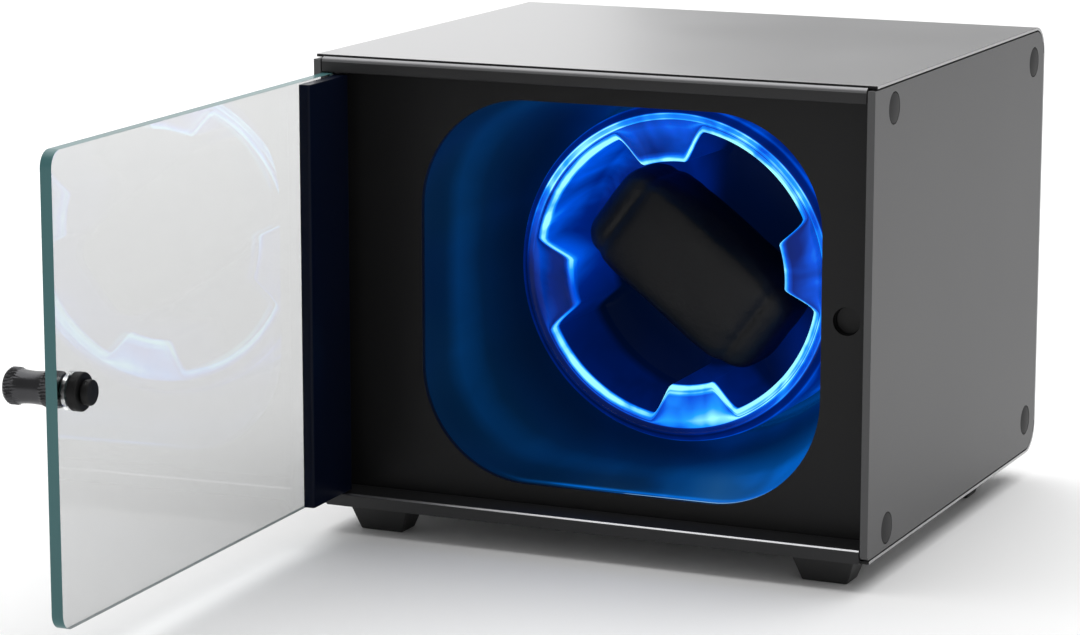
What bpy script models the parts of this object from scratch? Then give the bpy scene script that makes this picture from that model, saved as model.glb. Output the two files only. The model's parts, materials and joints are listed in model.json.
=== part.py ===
"""Single watch winder box with its glass door open.

A bent aluminium sheet wraps the top, back and underside; two side panels, two rails and four posts
stiffen it. Behind the recessed black front panel a moulded chamber holds a lobed drum that a gearmotor
turns, with a pillow in the drum's cup. A glass door swings on two pins at the left.

Sizes are millimetres in box coordinates: x from the left face, y from the front plane, z from the wrap's
underside. The scene is in metres, +Z up, the front towards -Y, the origin on the front right foot's sole.
"""

import math

import bmesh
import bpy
from mathutils import Matrix, Vector

MM = 0.001

# Case
WIDTH = 155.0
DEPTH = 143.0
HEIGHT = 121.0
SHEET = 0.8
WRAP_RADIUS = 8.0
SEAM = 0.4
SIDE_THICKNESS = 2.0
RAIL_DEPTH = 10.2
TOP_RAIL = (116.6, 119.8)
BOTTOM_RAIL = (1.2, 3.7)
GAP = 0.3

# Side screws: flat discs, flush with the side panels; (y, z) of each axis
DISC_RADIUS = 4.0
DISC_THICKNESS = 1.0
SHANK_RADIUS = 1.5
SIDE_SCREWS = {
    "front_top": (14.6, 114.0),
    "front_low": (14.6, 6.5),
    "rear_top": (133.0, 111.6),
    "rear_low": (133.2, 9.9),
}
POST = 8.0

# Front panel, chamber and drum
PANEL_FRONT = 10.5
PANEL_THICKNESS = 1.5
AXIS_X = 82.0
OPENING_Z = 59.7
OPENING = (56.0, 51.0)
OPENING_RADIUS = 30.0
OPENING_POINTS = 44
CHAMBER_RADIUS = 48.5
CHAMBER_BACK = 91.0
WALL = 1.2
FLANGE = 2.5
DRUM_Z = 60.0
DRUM_RADIUS = 46.0
DRUM_FRONT = 51.0
DRUM_BACK = 84.5
CUP_FLOOR = 84.0
LOBE_RADIUS = 39.5
TAB_RADIUS = 30.5
TAB_ANGLES = (11.0, 18.5)
TAB_TURN = 8.0
PILLOW_TURN = 143.0
PILLOW_SIZE = (63.0, 33.0, 28.5)

# Door, drawn closed and swung open at the end
PIVOT = (4.0, 2.2)
OPEN_ANGLE = 88.0
GLASS = ((5.7, 0.6, 4.0), (152.7, 3.6, 116.3))
BAR_END = 27.0
BAR_BACK = 7.0
BAR_Z = (4.4, 115.9)
KNUCKLE_RADIUS = 1.4
PIN_RADIUS = 0.8
PIN_BORE = 1.0
KNOB = (147.2, 60.2)
CATCH = (144.8, 59.8)
CATCH_RADIUS = 3.65

# Feet: (x, y) of each centre
FOOT_TOP = (17.4, 11.6)
FOOT_BOTTOM = (12.2, 7.6)
FOOT_HEIGHT = 7.4
FEET = {
    "front_left": (15.2, 10.8),
    "front_right": (141.2, 10.8),
    "rear_left": (15.2, 109.0),
    "rear_right": (141.2, 109.0),
}
ORIGIN = (FEET["front_right"][0] + 4.5, FEET["front_right"][1], -FOOT_HEIGHT)

# Drive and rear fittings
PLATE_FRONT = 97.0
REAR_WINDOW = (45.0, 15.0, 110.0, 43.0)
INLET = (58.0, 29.0)
MODE_KNOB = (94.0, 29.0)

TO_WORLD = Matrix.Scale(MM, 4) @ Matrix.Translation(-Vector(ORIGIN))
# Where a flat outline's u, v and thickness directions point, by the axis along its thickness
OUTLINE_FRAMES = {
    "X": Matrix(((0, 0, 1), (1, 0, 0), (0, 1, 0))).to_4x4(),
    "Y": Matrix(((1, 0, 0), (0, 0, -1), (0, 1, 0))).to_4x4(),
    "Z": Matrix.Identity(4),
}
DIRECTIONS = {"X": (1, 0, 0), "-X": (-1, 0, 0), "Y": (0, 1, 0), "-Y": (0, -1, 0), "Z": (0, 0, 1)}
MATERIAL_LOOKS = {
    "satin_aluminium": ((0.78, 0.78, 0.78), 1.0, 0.38),
    "side_grey": ((0.20, 0.20, 0.21), 0.6, 0.45),
    "disc_grey": ((0.08, 0.08, 0.085), 0.6, 0.4),
    "rail_grey": ((0.06, 0.06, 0.062), 0.5, 0.4),
    "panel_black": ((0.012, 0.012, 0.013), 0.0, 0.35),
    "chamber_black": ((0.008, 0.010, 0.014), 0.0, 0.15),
    "drum_blue": ((0.02, 0.25, 0.65), 0.0, 0.12),
    "led_blue": ((0.10, 0.45, 1.00), 0.0, 0.3),
    "glass_clear": ((0.75, 0.92, 0.90), 0.0, 0.03),
    "washer_clear": ((0.85, 0.88, 0.88), 0.0, 0.08),
    "bar_black": ((0.01, 0.01, 0.012), 0.0, 0.3),
    "knob_steel": ((0.25, 0.25, 0.26), 1.0, 0.25),
    "rubber_black": ((0.02, 0.02, 0.02), 0.0, 0.7),
    "pillow_fabric": ((0.015, 0.015, 0.017), 0.0, 0.85),
    "frame_steel": ((0.45, 0.45, 0.46), 1.0, 0.4),
    "gear_plastic": ((0.55, 0.54, 0.50), 0.0, 0.45),
    "motor_steel": ((0.55, 0.55, 0.56), 1.0, 0.3),
    "bush_brass": ((0.72, 0.52, 0.22), 1.0, 0.3),
    "board_green": ((0.02, 0.15, 0.06), 0.0, 0.4),
}


def clear_scene():
    for obj in list(bpy.data.objects):
        bpy.data.objects.remove(obj)


def make_collection(name, helper=False):
    collection = bpy.data.collections.new(name)
    collection.hide_render = helper
    bpy.context.scene.collection.children.link(collection)
    return collection


def make_material(name):
    color, metallic, roughness = MATERIAL_LOOKS[name]
    material = bpy.data.materials.new(name)
    material.use_nodes = True
    inputs = material.node_tree.nodes["Principled BSDF"].inputs
    inputs["Base Color"].default_value = (*color, 1.0)
    inputs["Metallic"].default_value = metallic
    inputs["Roughness"].default_value = roughness
    if name in ("glass_clear", "washer_clear", "drum_blue"):
        inputs["Transmission Weight"].default_value = 0.9
        inputs["IOR"].default_value = 1.5
    if name == "led_blue":
        inputs["Emission Color"].default_value = (*color, 1.0)
        inputs["Emission Strength"].default_value = 4.0
    return material


def at(x, y, z):
    return TO_WORLD @ Vector((x, y, z))


def add(name, slot, mesh):
    obj = bpy.data.objects.new(name, mesh)
    PARTS.objects.link(obj)
    mesh.materials.append(MATERIALS[slot])
    return obj


def add_bmesh(name, slot, bm, smooth_angle=None):
    """Object from a bmesh in box millimetres."""
    bm.normal_update()
    bmesh.ops.recalc_face_normals(bm, faces=bm.faces)
    bm.transform(TO_WORLD)
    mesh = bpy.data.meshes.new(name)
    bm.to_mesh(mesh)
    bm.free()
    if smooth_angle:
        mesh.shade_smooth()
        mesh.set_sharp_from_angle(angle=math.radians(smooth_angle))
    return add(name, slot, mesh)


def as_cutter(obj):
    PARTS.objects.unlink(obj)
    CUTTERS.objects.link(obj)
    obj.hide_render = True
    obj.display_type = "WIRE"
    return obj


def cut(obj, cutters):
    for cutter in cutters:
        boolean = obj.modifiers.new(f"Cut {cutter.name}", "BOOLEAN")
        boolean.operation = "DIFFERENCE"
        boolean.solver = "EXACT"
        boolean.object = cutter


def round_edges(obj, width, segments=2):
    bevel = obj.modifiers.new("Bevel", "BEVEL")
    bevel.width = width * MM
    bevel.segments = segments
    bevel.limit_method = "ANGLE"
    bevel.angle_limit = math.radians(30)


def arc(centre, radius, start, end, steps=6):
    """Points of an arc with both ends, angles in degrees."""
    angles = [math.radians(start + (end - start) * i / steps) for i in range(steps + 1)]
    return [(centre[0] + radius * math.cos(a), centre[1] + radius * math.sin(a)) for a in angles]


def circle(centre, radius, steps=24):
    return arc(centre, radius, 0, 360, steps)[:-1]


def rounded_rectangle(low, high, radii, steps=6):
    """Outline from the low corner, counter-clockwise; a radius of 0 leaves that corner sharp."""
    corners = [(low[0], low[1], 180), (high[0], low[1], 270), (high[0], high[1], 0), (low[0], high[1], 90)]
    points = []
    for (u, v, start), radius in zip(corners, radii):
        if radius == 0:
            points.append((u, v))
            continue
        centre = (u + radius * (1 if u == low[0] else -1), v + radius * (1 if v == low[1] else -1))
        points += arc(centre, radius, start, start + 90, steps)
    return points


def plate(name, slot, loops, axis, start, end):
    """Flat outline, with holes as further loops, thick from start to end along the axis."""
    curve = bpy.data.curves.new(name, "CURVE")
    curve.dimensions = "2D"
    curve.fill_mode = "BOTH"
    curve.extrude = (end - start) / 2
    for loop in loops:
        spline = curve.splines.new("POLY")
        spline.points.add(len(loop) - 1)
        spline.use_cyclic_u = True
        for point, (u, v) in zip(spline.points, loop):
            point.co = (u, v, 0.0, 1.0)
    guide = bpy.data.objects.new(name + "_outline", curve)
    bpy.context.scene.collection.objects.link(guide)
    bpy.context.view_layer.update()
    flat = bpy.data.meshes.new_from_object(guide.evaluated_get(bpy.context.evaluated_depsgraph_get()))
    bpy.data.objects.remove(guide)
    bm = bmesh.new()
    bm.from_mesh(flat)
    bmesh.ops.remove_doubles(bm, verts=bm.verts, dist=0.001)
    middle = Vector(DIRECTIONS[axis]) * (start + end) / 2
    bm.transform(Matrix.Translation(middle) @ OUTLINE_FRAMES[axis])
    return add_bmesh(name, slot, bm)


def block(name, slot, low, high):
    bm = bmesh.new()
    bmesh.ops.create_cube(bm, size=1.0)
    bmesh.ops.scale(bm, vec=[b - a for a, b in zip(low, high)], verts=bm.verts)
    bmesh.ops.translate(bm, vec=[(a + b) / 2 for a, b in zip(low, high)], verts=bm.verts)
    return add_bmesh(name, slot, bm)


def rod(name, slot, start, direction, length, radius, steps=24):
    """Plain cylinder from start, along the direction."""
    axis = Vector(DIRECTIONS[direction])
    bm = bmesh.new()
    bmesh.ops.create_cone(bm, cap_ends=True, segments=steps, radius1=radius, radius2=radius, depth=length)
    turn = axis.to_track_quat("Z", "Y").to_matrix().to_4x4()
    bm.transform(Matrix.Translation(Vector(start) + axis * length / 2) @ turn)
    return add_bmesh(name, slot, bm, smooth_angle=40)


def turned(name, slot, profile, centre, direction, steps=20, ring=False):
    """Body of revolution: (radius, height) points down the outer side; a ring's profile closes on itself."""
    mesh = bpy.data.meshes.new(name)
    edges = [(i, i + 1) for i in range(len(profile) - 1)]
    if ring:
        edges.append((len(profile) - 1, 0))
    mesh.from_pydata([(r * MM, 0.0, h * MM) for r, h in profile], edges, [])
    obj = add(name, slot, mesh)
    obj.location = at(*centre)
    obj.rotation_mode = "QUATERNION"
    obj.rotation_quaternion = Vector(DIRECTIONS[direction]).to_track_quat("Z", "Y")
    screw = obj.modifiers.new("Screw", "SCREW")
    screw.axis = "Z"
    screw.steps = steps
    screw.render_steps = steps
    screw.use_merge_vertices = True
    screw.merge_threshold = 0.00001
    return obj


def loft(name, slot, rings):
    """Closed ring-shaped body: each ring of points is joined to the next, and the last to the first."""
    bm = bmesh.new()
    made = [[bm.verts.new(point) for point in ring] for ring in rings]
    for here, after in zip(made, made[1:] + made[:1]):
        for i in range(len(here)):
            j = (i + 1) % len(here)
            bm.faces.new((here[i], here[j], after[j], after[i]))
    return add_bmesh(name, slot, bm, smooth_angle=40)


def hang_on(name, location, pieces):
    """Empty on a joint's axis that carries the pieces which move with it."""
    empty = bpy.data.objects.new(name, None)
    empty.location = location
    PARTS.objects.link(empty)
    for piece in pieces:
        piece.parent = empty
        piece.matrix_parent_inverse = Matrix.Translation(-Vector(location))
    return empty


def make_wrap():
    corner_low = (DEPTH - WRAP_RADIUS, WRAP_RADIUS)
    corner_high = (DEPTH - WRAP_RADIUS, HEIGHT - WRAP_RADIUS)
    inner_radius = WRAP_RADIUS - SHEET
    outline = [(0, 0), *arc(corner_low, WRAP_RADIUS, -90, 0), *arc(corner_high, WRAP_RADIUS, 0, 90)]
    outline += [(0, HEIGHT), (0, HEIGHT - SHEET), *arc(corner_high, inner_radius, 90, 0)]
    outline += [*arc(corner_low, inner_radius, 0, -90), (0, SHEET)]
    wrap = plate("outer_wrap", "satin_aluminium", [outline], "X", 0, WIDTH)
    x0, z0, x1, z1 = REAR_WINDOW
    window = rounded_rectangle((x0, z0), (x1, z1), [3] * 4, 4)
    cutters = [plate("rear_window", "satin_aluminium", [window], "Y", 138, 148)]
    for foot, (x, y) in FEET.items():
        cutters.append(rod(f"{foot}_hole", "satin_aluminium", (x, y, -2), "Z", 6, 1.8, 16))
    cut(wrap, [as_cutter(cutter) for cutter in cutters])


def make_side(side, direction):
    """Side panel with its four flush screws; direction is the way the screws are driven."""
    edge = SHEET + SEAM
    radii = [1.5, WRAP_RADIUS - edge, WRAP_RADIUS - edge, 0]
    outline = rounded_rectangle((0, edge), (DEPTH - edge, HEIGHT - edge), radii)
    start = 0 if side == "left" else WIDTH - SIDE_THICKNESS
    face = 0 if side == "left" else WIDTH
    inward = 1 if side == "left" else -1
    panel = plate(f"{side}_side_panel", "side_grey", [outline], "X", start, start + SIDE_THICKNESS)
    cutters = []
    for place, (y, z) in SIDE_SCREWS.items():
        name = f"{side}_{place}"
        start_point = (face - inward, y, z)
        depth = DISC_THICKNESS + 1.2
        pocket = rod(name + "_pocket", "side_grey", start_point, direction, depth, DISC_RADIUS + 0.15, 16)
        hole = rod(name + "_hole", "side_grey", start_point, direction, 12, SHANK_RADIUS + GAP, 16)
        cutters += [as_cutter(pocket), as_cutter(hole)]
        shank_end = -9.0
        profile = [
            (0, 0),
            (DISC_RADIUS - 0.15, 0),
            (DISC_RADIUS, -0.15),
            (DISC_RADIUS, -DISC_THICKNESS),
            (SHANK_RADIUS, -DISC_THICKNESS),
            (SHANK_RADIUS, shank_end),
            (0, shank_end),
        ]
        outward = "-X" if side == "left" else "X"
        turned(f"{name}_screw", "disc_grey", profile, (face, y, z), outward, 16)
    cut(panel, cutters)
    return cutters


def make_posts():
    """Four square posts inside the corners, drilled for the side screws."""
    for side in ("left", "right"):
        x0 = SIDE_THICKNESS + GAP if side == "left" else WIDTH - SIDE_THICKNESS - GAP - POST
        for end, y0, z0, z1 in (("front", 12.3, 1.2, 119.8), ("rear", 129.0, 2.4, 118.6)):
            post = block(f"{side}_{end}_post", "frame_steel", (x0, y0, z0), (x0 + POST, y0 + POST, z1))
            round_edges(post, 0.5, 1)
            drills = []
            for place, (y, z) in SIDE_SCREWS.items():
                if place.startswith(end):
                    tap = f"{side}_{place}_tap"
                    drill = rod(tap, "frame_steel", (x0 - 2, y, z), "X", POST + 4, SHANK_RADIUS + 0.2, 16)
                    drills.append(as_cutter(drill))
            if side == "right" and end == "front":
                low = (x0 - 2, y0 - 2, CATCH[1] - 7)
                high = (x0 + POST + 2, y0 + 3, CATCH[1] + 7)
                drills.append(as_cutter(block("catch_pocket", "frame_steel", low, high)))
            cut(post, drills)


def make_rails():
    """Top and bottom rails, with blind holes for the door's pins."""
    x0, x1 = SIDE_THICKNESS + GAP, WIDTH - SIDE_THICKNESS - GAP
    rails = (("top_rail", TOP_RAIL, 1.1, 114.0), ("bottom_rail", BOTTOM_RAIL, 0.45, 1.7))
    for name, (z0, z1), chamfer, pin_z in rails:
        section = [(0, z0), (RAIL_DEPTH, z0), (RAIL_DEPTH, z1), (chamfer, z1), (0, z1 - chamfer)]
        rail = plate(name, "rail_grey", [section], "X", x0, x1)
        hole = rod(f"{name}_pin_hole", "rail_grey", (*PIVOT, pin_z), "Z", 4.4, PIN_BORE, 16)
        cut(rail, [as_cutter(hole)])


def opening_point(angle, grow=0.0):
    """Point of the rounded opening, seen from its centre in the direction of the angle."""
    half_u, half_v = OPENING[0] + grow, OPENING[1] + grow
    radius = OPENING_RADIUS + grow
    c, s = abs(math.cos(angle)), abs(math.sin(angle))
    reach = min(half_u / c if c > 1e-9 else math.inf, half_v / s if s > 1e-9 else math.inf)
    corner = Vector((half_u - radius, half_v - radius))
    ray = Vector((c, s))
    if reach * c > corner.x and reach * s > corner.y:
        along = ray.dot(corner)
        reach = along + math.sqrt(along * along - corner.length_squared + radius * radius)
    return reach * math.cos(angle), reach * math.sin(angle)


def make_front_panel():
    edge = SHEET + SEAM
    outline = rounded_rectangle((2.3, edge), (WIDTH - 2.3, HEIGHT - edge), [0] * 4)
    angles = [2 * math.pi * i / OPENING_POINTS for i in range(OPENING_POINTS)]
    opening = [(AXIS_X + u, OPENING_Z + v) for u, v in map(opening_point, angles)]
    plate(
        "front_panel",
        "panel_black",
        [outline, opening, circle(CATCH, CATCH_RADIUS, 20)],
        "Y",
        PANEL_FRONT,
        PANEL_FRONT + PANEL_THICKNESS,
    )
    catch = [(0, 0), (4.2, 0), (4.2, -2.2), (CATCH_RADIUS, -2.2), (CATCH_RADIUS, -1.5)]
    catch += [(CATCH_RADIUS - 0.3, -1.3), (0, -1.3)]
    turned("catch_cup", "panel_black", catch, (CATCH[0], 14.5, CATCH[1]), "Y")


def make_chamber():
    """Smooth bowl from the rounded opening to a round back wall, with a flange behind the front panel."""
    front = PANEL_FRONT + PANEL_THICKNESS + GAP
    side_end = 84.0
    angles = [2 * math.pi * i / OPENING_POINTS for i in range(OPENING_POINTS)]

    def section(y, grow):
        depth = min(1.0, (y - front) / (side_end - front))
        blend = depth * depth * (3 - 2 * depth)
        ring = []
        for angle in angles:
            u, v = opening_point(angle, grow)
            radius = CHAMBER_RADIUS + grow
            round_u, round_v = radius * math.cos(angle), radius * math.sin(angle)
            z = OPENING_Z + (DRUM_Z - OPENING_Z) * blend
            ring.append((AXIS_X + u + (round_u - u) * blend, y, z + v + (round_v - v) * blend))
        return ring

    def round_ring(radius, y):
        return [(AXIS_X + radius * math.cos(a), y, DRUM_Z + radius * math.sin(a)) for a in angles]

    depths = [front + (side_end - front) * i / 5 for i in range(6)]
    inner = [section(y, 0.0) for y in depths]
    inner += [round_ring(CHAMBER_RADIUS - 1.6, 88.9), round_ring(CHAMBER_RADIUS - 6.0, CHAMBER_BACK)]
    inner += [round_ring(6.5, CHAMBER_BACK), round_ring(6.5, CHAMBER_BACK + WALL)]
    outer = [round_ring(CHAMBER_RADIUS - 5.6, CHAMBER_BACK + WALL), round_ring(CHAMBER_RADIUS - 0.6, 89.6)]
    outer += [section(y, WALL) for y in (side_end, depths[3], depths[1])]
    outer += [section(front + WALL, WALL), section(front + WALL, FLANGE), section(front, FLANGE)]
    loft("chamber_liner", "chamber_black", inner + outer)


def lobed_radius(angle, grow=0.0):
    """Radius of the drum's cup: four tabs reach inwards from the lobed outline."""
    quarter = (math.degrees(angle) - TAB_TURN) % 90
    from_tab = min(quarter, 90 - quarter)
    t = min(1.0, max(0.0, (from_tab - TAB_ANGLES[0]) / (TAB_ANGLES[1] - TAB_ANGLES[0])))
    return TAB_RADIUS + (LOBE_RADIUS - TAB_RADIUS) * t * t * (3 - 2 * t) + grow


def make_drum():
    """Moulded shell: outer skirt, front ring and lobed cup in one piece, open behind between them."""
    half = [0, 8, 12, 14.75, 18, 26, 35]
    quarter = [*half, 45, *(90 - angle for angle in reversed(half[1:]))]
    angles = [math.radians(TAB_TURN + 90 * turn + angle) for turn in range(4) for angle in quarter]

    def ring(y, radius=None, grow=0.0):
        sizes = [lobed_radius(a, grow) if radius is None else radius for a in angles]
        return [(AXIS_X + r * math.cos(a), y, DRUM_Z + r * math.sin(a)) for r, a in zip(sizes, angles)]

    front = [ring(CUP_FLOOR, 2.0), ring(CUP_FLOOR, grow=-2.0), ring(CUP_FLOOR - 2, grow=-0.4)]
    front += [ring(DRUM_FRONT + 1.3), ring(DRUM_FRONT, grow=1.2), ring(DRUM_FRONT, 42.6)]
    front += [ring(DRUM_FRONT - 0.5, 43.2), ring(DRUM_FRONT - 0.3, 44.6), ring(DRUM_FRONT + 0.9, 45.7)]
    back = [ring(DRUM_FRONT + 2.6, DRUM_RADIUS), ring(DRUM_BACK, DRUM_RADIUS)]
    back += [ring(DRUM_BACK, DRUM_RADIUS - 1.8), ring(DRUM_FRONT + 2.6, DRUM_RADIUS - 1.8)]
    back += [ring(DRUM_FRONT + 2.6, grow=2.0)]
    back += [ring(CUP_FLOOR + 1.8, grow=1.4), ring(CUP_FLOOR + 1.8, 2.0)]
    shell = loft("drum_shell", "drum_blue", front + back)

    hub = [(2.6, 5.0), (6.0, 5.0), (6.0, 3.4), (14.0, 3.0), (14.0, 0.0), (1.9, 0.0), (1.9, 2.2), (2.6, 2.2)]
    hub = turned("drum_hub", "gear_plastic", hub, (AXIS_X, CUP_FLOOR + 2.1, DRUM_Z), "Y", ring=True)
    screw = [(0, 1.9), (3.4, 1.9), (3.8, 1.5), (3.8, 0.3), (1.5, 0.3), (1.5, -5.0), (0, -5.0)]
    screw = turned("hub_screw", "knob_steel", screw, (AXIS_X, CUP_FLOOR, DRUM_Z), "-Y", 16)
    shaft = [(0, 12.0), (1.7, 12.0), (2.3, 11.4), (2.3, -3.0), (0, -3.0)]
    bore = as_cutter(rod("shaft_thread", "knob_steel", (AXIS_X, 87.4, DRUM_Z), "Y", 3.0, 1.8, 16))
    shaft = turned("drive_shaft", "knob_steel", shaft, (AXIS_X, 91.5, DRUM_Z), "Y")
    cut(shaft, [bore])
    return hang_on("drum_axis", at(AXIS_X, DRUM_FRONT, DRUM_Z), [shell, hub, screw, shaft])


def make_pillow(drum_axis):
    bm = bmesh.new()
    bmesh.ops.create_cube(bm, size=1.0)
    bmesh.ops.subdivide_edges(bm, edges=bm.edges, cuts=2, use_grid_fill=True)
    bmesh.ops.scale(bm, vec=(PILLOW_SIZE[0], PILLOW_SIZE[2], PILLOW_SIZE[1]), verts=bm.verts)
    centre = Vector((AXIS_X, CUP_FLOOR - 1.9 - PILLOW_SIZE[2] / 2, DRUM_Z))
    bm.transform(Matrix.Translation(centre) @ Matrix.Rotation(math.radians(-PILLOW_TURN), 4, "Y"))
    pillow = add_bmesh("pillow", "pillow_fabric", bm, smooth_angle=180)
    rounding = pillow.modifiers.new("Rounding", "SUBSURF")
    rounding.levels = 1
    rounding.render_levels = 1
    axis = hang_on("pillow_slide", at(*centre), [pillow])
    axis.parent = drum_axis
    axis.matrix_parent_inverse = Matrix.Translation(-drum_axis.location)


def make_drive():
    """Light ring behind the drum, and the gearmotor on its plate behind the chamber."""
    light = [(38.0, 0.0), (43.0, 0.0), (43.0, -2.0), (38.0, -2.0)]
    turned("led_ring", "led_blue", light, (AXIS_X, CHAMBER_BACK - GAP, DRUM_Z), "Y", 32, ring=True)
    corners = [(AXIS_X + sx * 30.0, DRUM_Z + sz * 30.0) for sx in (-1, 1) for sz in (-1, 1)]
    outline = rounded_rectangle((AXIS_X - 38, DRUM_Z - 38), (AXIS_X + 38, DRUM_Z + 38), [6] * 4, 4)
    loops = [outline, circle((AXIS_X, DRUM_Z), 5.3)]
    loops += [circle(corner, 1.8, 12) for corner in corners]
    plate("motor_plate", "frame_steel", loops, "Y", PLATE_FRONT, PLATE_FRONT + 2.0)
    for number, (x, z) in enumerate(corners, 1):
        start = CHAMBER_BACK + WALL + GAP
        profile = [(0, 7.2), (1.4, 7.2), (1.4, 4.2), (4.0, 4.2), (4.0, 0), (0, 0)]
        turned(f"standoff_{number}", "frame_steel", profile, (x, start, z), "Y", 12)
    bush = [(2.6, 8.0), (5.0, 8.0), (5.0, 4.3), (6.2, 4.3), (6.2, 2.6), (2.6, 2.6)]
    turned("shaft_bush", "bush_brass", bush, (AXIS_X, 90.9, DRUM_Z), "Y", ring=True)
    gearbox = [(0, 12.4), (17.8, 12.4), (18.5, 11.7), (18.5, 0.7), (17.8, 0), (2.9, 0), (2.9, 5.4), (0, 5.4)]
    turned("gearbox", "motor_steel", gearbox, (AXIS_X, PLATE_FRONT + 2.3, DRUM_Z), "Y", 24)
    motor = [(0, 17.0), (11.0, 17.0), (12.0, 16.0), (12.0, 0.8), (11.2, 0), (0, 0)]
    turned("motor_can", "motor_steel", motor, (AXIS_X, 112.2, DRUM_Z), "Y", 24)


def make_rear():
    """Rear control panel, its inlet and selector knob, and the circuit board between the rear posts."""
    x0, z0, x1, z1 = REAR_WINDOW
    outline = rounded_rectangle((x0 - 4, z0 - 4), (x1 + 4, z1 + 4), [4] * 4, 4)
    loops = [outline, circle(INLET, 4.3), circle(MODE_KNOB, 3.4)]
    plate("rear_panel", "panel_black", loops, "Y", 140.1, 141.9)
    inlet = [(0, -2.0), (1.0, -2.4), (1.0, -9.0), (3.0, -9.0), (3.0, 0.4), (3.3, 0.7), (4.9, 0.7)]
    inlet += [(5.2, 0.4), (5.2, 0), (4.0, 0), (4.0, -10.2), (0, -10.2)]
    turned("dc_inlet", "rubber_black", inlet, (INLET[0], 142.2, INLET[1]), "Y")
    knob = [(0, 7.4), (6.4, 7.4), (7.0, 6.8), (7.0, 0.6), (6.4, 0), (3.0, 0), (3.0, -7.0), (0, -7.0)]
    knob = turned("mode_knob", "rubber_black", knob, (MODE_KNOB[0], 142.3, MODE_KNOB[1]), "Y")
    low, high = (MODE_KNOB[0] - 0.6, 149.0, MODE_KNOB[1]), (MODE_KNOB[0] + 0.6, 151.0, 40.0)
    pointer = block("pointer_groove", "rubber_black", low, high)
    cut(knob, [as_cutter(pointer)])
    hang_on("mode_knob_axis", at(MODE_KNOB[0], 142.3, MODE_KNOB[1]), [knob])
    board = rounded_rectangle((11.0, 8.0), (WIDTH - 11.0, 50.0), [2] * 4, 2)
    plate("control_board", "board_green", [board], "Y", 130.0, 131.6)


def make_feet():
    for name, (x, y) in FEET.items():
        foot = block(
            f"{name}_foot",
            "rubber_black",
            (x - FOOT_TOP[0] / 2, y - FOOT_TOP[1] / 2, -FOOT_HEIGHT),
            (x + FOOT_TOP[0] / 2, y + FOOT_TOP[1] / 2, -0.1),
        )
        centre = at(x, y, 0)
        for vertex in foot.data.vertices:
            if vertex.co.z < centre.z - 0.001:
                vertex.co.x = centre.x + (vertex.co.x - centre.x) * FOOT_BOTTOM[0] / FOOT_TOP[0]
                vertex.co.y = centre.y + (vertex.co.y - centre.y) * FOOT_BOTTOM[1] / FOOT_TOP[1]
        round_edges(foot, 0.35, 1)
        pocket = rod(f"{name}_head_pocket", "rubber_black", (x, y, -FOOT_HEIGHT - 2), "Z", 4.6, 2.9, 16)
        hole = rod(f"{name}_screw_hole", "rubber_black", (x, y, -FOOT_HEIGHT - 2), "Z", 12, 1.8, 16)
        cut(foot, [as_cutter(pocket), as_cutter(hole)])
        top = FOOT_HEIGHT + 0.2
        profile = [(0, top), (1.5, top), (1.5, 1.5), (2.6, 1.5), (2.6, 0.3), (2.3, 0), (0, 0)]
        turned(f"{name}_foot_screw", "knob_steel", profile, (x, y, -FOOT_HEIGHT + 0.8), "Z", 16)


def make_door():
    """Glass, hinge bar with its knuckle and pins, and the pull knob, drawn closed and then swung open."""
    (x0, y0, z0), (x1, y1, z1) = GLASS
    outline = rounded_rectangle((x0, z0), (x1, z1), [0.5, 4, 4, 0.5], 5)
    glass = plate("glass_pane", "glass_clear", [outline, circle(KNOB, 2.3, 20)], "Y", y0, y1)

    face = y1 + GAP
    right_side = PIVOT[0] + KNUCKLE_RADIUS
    section = [*arc(PIVOT, KNUCKLE_RADIUS, 175, 360, 12), (right_side, face), (BAR_END, face)]
    section += [*arc((BAR_END - 0.8, BAR_BACK - 0.8), 0.8, 0, 90, 3), (PIVOT[0] + 0.2, BAR_BACK)]
    bar = plate("hinge_bar", "bar_black", [section], "Z", *BAR_Z)
    bores = [rod("upper_bore", "bar_black", (*PIVOT, BAR_Z[1] - 6), "Z", 8, PIN_BORE, 16)]
    bores += [rod("lower_bore", "bar_black", (*PIVOT, BAR_Z[0] - 2), "Z", 8, PIN_BORE, 16)]
    cut(bar, [as_cutter(bore) for bore in bores])
    pins = []
    for name, start in (("upper_hinge_pin", BAR_Z[1] - 5.7), ("lower_hinge_pin", 2.0)):
        length = 118.1 - start if name.startswith("upper") else BAR_Z[0] + 5.7 - start
        profile = [(0, length), (PIN_RADIUS, length), (PIN_RADIUS, 0), (0, 0)]
        pins.append(turned(name, "knob_steel", profile, (*PIVOT, start), "Z", 16))

    x, z = KNOB
    knob = [(0, 12.3), (3.7, 12.3), (4.3, 11.5), (4.3, 9.4), (3.95, 7.8), (3.85, 6.0), (3.9, 4.2)]
    knob += [(4.2, 2.4), (4.2, 0.5), (3.9, 0), (2.0, 0), (2.0, -6.2), (0, -6.2)]
    knob = turned("knob", "knob_steel", knob, (x, y0 - GAP, z), "-Y")
    washer = [(2.3, 1.0), (4.6, 1.0), (4.6, 0), (2.3, 0)]
    washer = turned("knob_washer", "washer_clear", washer, (x, face, z), "Y", ring=True)
    collar = [(0, 2.5), (3.8, 2.5), (4.6, 1.7), (4.6, 0), (2.3, 0), (2.3, 1.8), (0, 1.8)]
    collar = turned("knob_collar", "rubber_black", collar, (x, face + 1.2, z), "Y")
    tip = [(0, 1.9), (2.6, 1.9), (3.05, 1.5), (3.05, 0), (0, 0)]
    tip = turned("knob_tip", "rubber_black", tip, (x, face + 4.0, z), "Y")
    door = hang_on("door_hinge", at(*PIVOT, 0), [glass, bar, *pins, knob, washer, collar, tip])
    door.rotation_euler = (0, 0, math.radians(-OPEN_ANGLE))


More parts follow.
